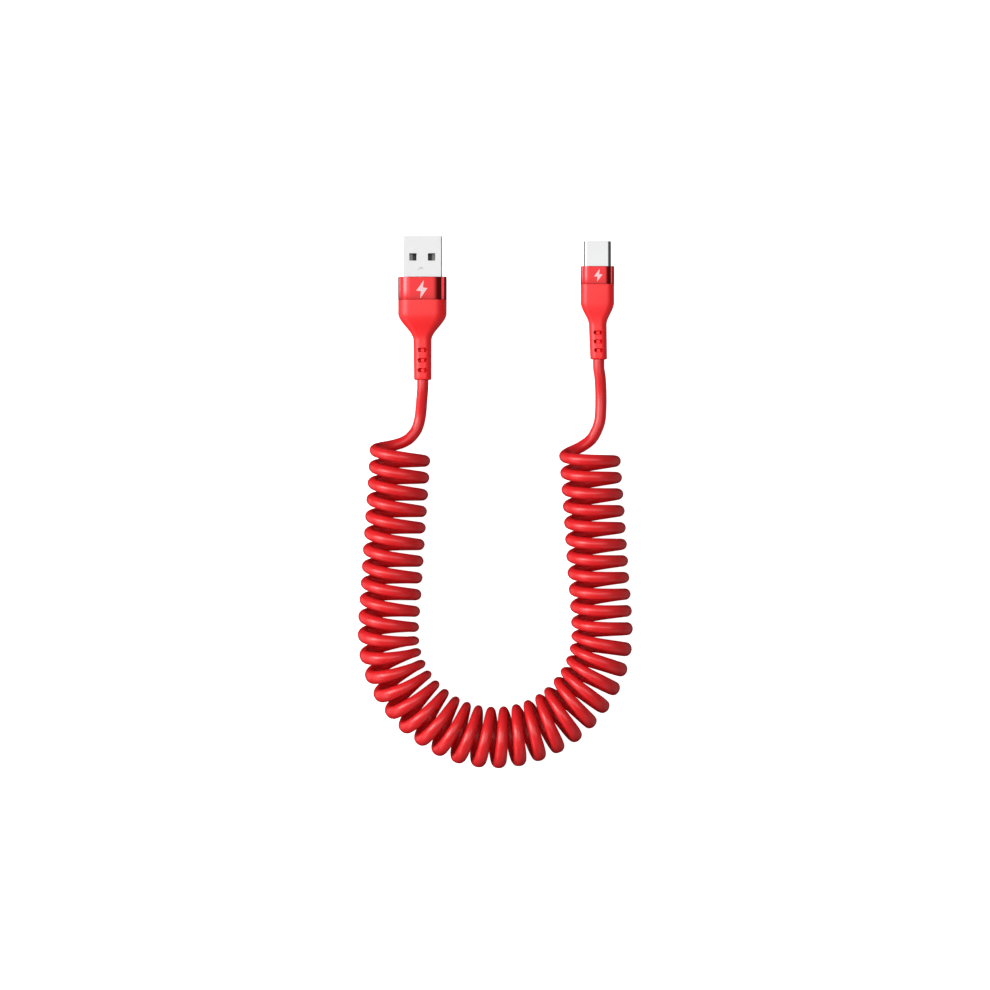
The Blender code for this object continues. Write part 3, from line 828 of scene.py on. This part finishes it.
def vary_colour(material, shader, finish):
    """The base colour wanders between two close colours."""
    nodes, links = material.node_tree.nodes, material.node_tree.links
    ramp = nodes.new("ShaderNodeValToRGB")
    first, last = ramp.color_ramp.elements
    first.position, first.color = DARK_BELOW, (*finish.dark, 1.0)
    last.position, last.color = LIGHT_ABOVE, (*finish.light, 1.0)
    noise = object_noise(material, finish.colour_waves, COLOUR_DETAIL, finish.stretch)
    links.new(noise, ramp.inputs["Fac"])
    links.new(ramp.outputs["Color"], shader.inputs["Base Color"])


def vary_roughness(material, shader, finish):
    """The roughness wanders between two values."""
    nodes, links = material.node_tree.nodes, material.node_tree.links
    span = nodes.new("ShaderNodeMapRange")
    span.inputs["To Min"].default_value = finish.smooth
    span.inputs["To Max"].default_value = finish.rough
    noise = object_noise(material, finish.roughness_waves, finish.roughness_detail, finish.stretch)
    links.new(noise, span.inputs["Value"])
    links.new(span.outputs["Result"], shader.inputs["Roughness"])


def add_relief(material, shader, finish):
    """Fine relief from a noise."""
    nodes, links = material.node_tree.nodes, material.node_tree.links
    bump = nodes.new("ShaderNodeBump")
    bump.inputs["Strength"].default_value = finish.relief_strength
    bump.inputs["Distance"].default_value = finish.relief_depth
    noise = object_noise(material, finish.relief_waves, finish.relief_detail, finish.stretch)
    links.new(noise, bump.inputs["Height"])
    links.new(bump.outputs["Normal"], shader.inputs["Normal"])


def make_material(finish):
    """A procedural material from its finish."""
    material = bpy.data.materials.new(finish.name)
    material.use_nodes = True
    shader = material.node_tree.nodes["Principled BSDF"]
    shader.inputs["Base Color"].default_value = (*finish.colour, 1.0)
    shader.inputs["Roughness"].default_value = (finish.smooth + finish.rough) / 2
    shader.inputs["Metallic"].default_value = finish.metallic
    shader.inputs["Coat Weight"].default_value = finish.coat
    shader.inputs["Coat Roughness"].default_value = finish.coat_roughness
    vary_roughness(material, shader, finish)
    if finish.colour_waves:
        vary_colour(material, shader, finish)
    if finish.relief_waves:
        add_relief(material, shader, finish)
    return material


def give(obj, material, slot_name, *nodes):
    """Dress a new piece, let it ride on the cable and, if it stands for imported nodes, replace them."""
    obj.data.materials.clear()
    obj.data.materials.append(material)
    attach(obj, "root")
    if nodes:
        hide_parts(*nodes)


def dress(names, material):
    """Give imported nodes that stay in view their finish."""
    for name in names:
        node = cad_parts[name]
        node.data.materials.clear()
        node.data.materials.append(material)


def bolt(name, node, size, shift):
    """The pale charging bolt printed on a collar."""
    box = Box(node)
    shape = [(x * size[0] / 2, y * size[1] / 2) for x, y in BOLT_SHAPE]
    obj = skin(name, [[Vector((x, y, z)) for x, y in shape] for z in (-BOLT_ROOT, BOLT_PROUD)])
    obj.location = Vector((box.middle.x + shift[0], box.middle.y + shift[1], box.high.z))
    return obj


def make_cord():
    """The whole cord as one tube, in place of the two straight ends and the fat winding."""
    path, squeezes = cord_path()
    cord = round_cord("cord", path, squeezes, CORD_DIAMETER, CORD_SIDES)
    give(cord, make_material(CORD_JACKET), "cord", "lead_usb_a", "coil", "lead_usb_c")


def make_floor():
    """The floor, just under the cable and lit from within.

    It throws no light back at the cable and isn't seen in its reflections.
    """
    bpy.ops.mesh.primitive_plane_add(size=FLOOR_SIZE, location=(0.0, 0.0, -FLOOR_DROP))
    floor = bpy.context.active_object
    floor.name = "floor"
    material = make_material(PALE_FLOOR)
    shader = material.node_tree.nodes["Principled BSDF"]
    shader.inputs["Specular IOR Level"].default_value = 0.0
    shader.inputs["Emission Color"].default_value = (1.0, 1.0, 1.0, 1.0)
    shader.inputs["Emission Strength"].default_value = FLOOR_GLOW
    floor.data.materials.append(material)
    floor.visible_diffuse = False
    floor.visible_glossy = False


class WorldMaths:
    """Small helpers that wire the room's node tree."""

    def __init__(self, world):
        world.use_nodes = True
        self.nodes = world.node_tree.nodes
        self.links = world.node_tree.links

    def set_input(self, socket, value):
        if isinstance(value, (int, float)):
            socket.default_value = value
        else:
            self.links.new(value, socket)

    def maths(self, operation, *values):
        node = self.nodes.new("ShaderNodeMath")
        node.operation = operation
        for socket, value in zip(node.inputs, values):
            self.set_input(socket, value)
        return node.outputs["Value"]

    def soft_step(self, value, edge, softness, low=0.0, high=1.0):
        """From low to high as the value passes the edge."""
        node = self.nodes.new("ShaderNodeMapRange")
        node.interpolation_type = "SMOOTHSTEP"
        self.set_input(node.inputs["Value"], value)
        self.set_input(node.inputs["From Min"], edge - softness)
        self.set_input(node.inputs["From Max"], edge + softness)
        self.set_input(node.inputs["To Min"], low)
        self.set_input(node.inputs["To Max"], high)
        return node.outputs["Result"]

    def inside(self, value, low, high, softness):
        """1 between low and high, with soft edges."""
        rising = self.soft_step(value, low, softness)
        falling = self.soft_step(value, high, softness, 1.0, 0.0)
        return self.maths("MULTIPLY", rising, falling)


def make_world():
    """A dark room with softboxes round the cable, darker below it, which the camera sees as white."""
    world = bpy.data.worlds.new("studio")
    bpy.context.scene.world = world
    room = WorldMaths(world)
    place = room.nodes.new("ShaderNodeTexCoord")
    split = room.nodes.new("ShaderNodeSeparateXYZ")
    room.links.new(place.outputs["Generated"], split.inputs["Vector"])
    x, y, z = (split.outputs[axis] for axis in "XYZ")
    tilt = room.maths("DEGREES", room.maths("ARCTAN2", x, z))
    total = room.soft_step(z, BELOW_EDGE, BELOW_SOFTNESS, BELOW_BRIGHTNESS, ROOM_BRIGHTNESS)
    for panel in SOFTBOXES:
        across = room.inside(tilt, panel.left, panel.right, panel.fade / 2)
        along = room.inside(y, panel.front, panel.back, SOFT_EDGE_Y)
        mask = room.maths("MULTIPLY", across, along)
        total = room.maths("MULTIPLY_ADD", mask, panel.brightness, total)
    lit = room.nodes["Background"]
    lit.inputs["Color"].default_value = (1.0, 1.0, 1.0, 1.0)
    room.links.new(total, lit.inputs["Strength"])
    plain = room.nodes.new("ShaderNodeBackground")
    plain.inputs["Color"].default_value = (1.0, 1.0, 1.0, 1.0)
    seen = room.nodes.new("ShaderNodeLightPath")
    choose = room.nodes.new("ShaderNodeMixShader")
    room.links.new(seen.outputs["Is Camera Ray"], choose.inputs["Fac"])
    room.links.new(lit.outputs["Background"], choose.inputs[1])
    room.links.new(plain.outputs["Background"], choose.inputs[2])
    room.links.new(choose.outputs["Shader"], room.nodes["World Output"].inputs["Surface"])


def make_pieces():
    """Every visible piece with its finish."""
    moulding = make_material(GRIP_MOULDING)
    red_metal = make_material(RED_METAL)
    pale_print = make_material(PALE_PRINT)
    grip_a = grip("usb_a_grip", "usb_a_overmould", "usb_a_collar", "usb_a_shell", NECK_A, A_SHELL_CORNER)
    grip_c = grip("usb_c_grip", "usb_c_overmould", "usb_c_collar", "usb_c_shell", NECK_C, C_SHELL_CORNER)
    give(grip_a, moulding, "grip", "usb_a_overmould")
    give(grip_c, moulding, "grip", "usb_c_overmould")
    collar_a = collar("usb_a_sleeve", "usb_a_collar", "usb_a_shell", COLLAR_A, A_SHELL_CORNER)
    collar_c = collar("usb_c_sleeve", "usb_c_collar", "usb_c_shell", COLLAR_C, C_SHELL_CORNER)
    give(collar_a, red_metal, "collar", "usb_a_collar")
    give(collar_c, red_metal, "collar", "usb_c_collar")
    give(bolt("usb_a_bolt", "usb_a_collar", BOLT_A_SIZE, BOLT_A_SHIFT), pale_print, "collar")
    give(bolt("usb_c_bolt", "usb_c_collar", BOLT_C_SIZE, BOLT_C_SHIFT), pale_print, "collar")
    give(usb_a_shell(), make_material(MATT_NICKEL), "usb_a_steel", "usb_a_shell")
    shell_c = shell_skin("usb_c_shell_skin", "usb_c_shell", C_SHELL_WALL, C_SHELL_CORNER)
    give(shell_c, make_material(BRIGHT_NICKEL), "usb_c_steel", "usb_c_shell")
    dress(("usb_a_tongue", "usb_c_liner"), make_material(INSULATOR))
    # The contacts' dark grey is partly plating and partly painted shade of the recess under the shell
    # windows
    dress([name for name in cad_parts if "_contact_" in name], make_material(CONTACT_PLATING_AND_SHADE))
    make_cord()


make_camera()
make_pieces()
make_floor()
make_world()
bpy.context.scene.view_settings.view_transform = "Standard"
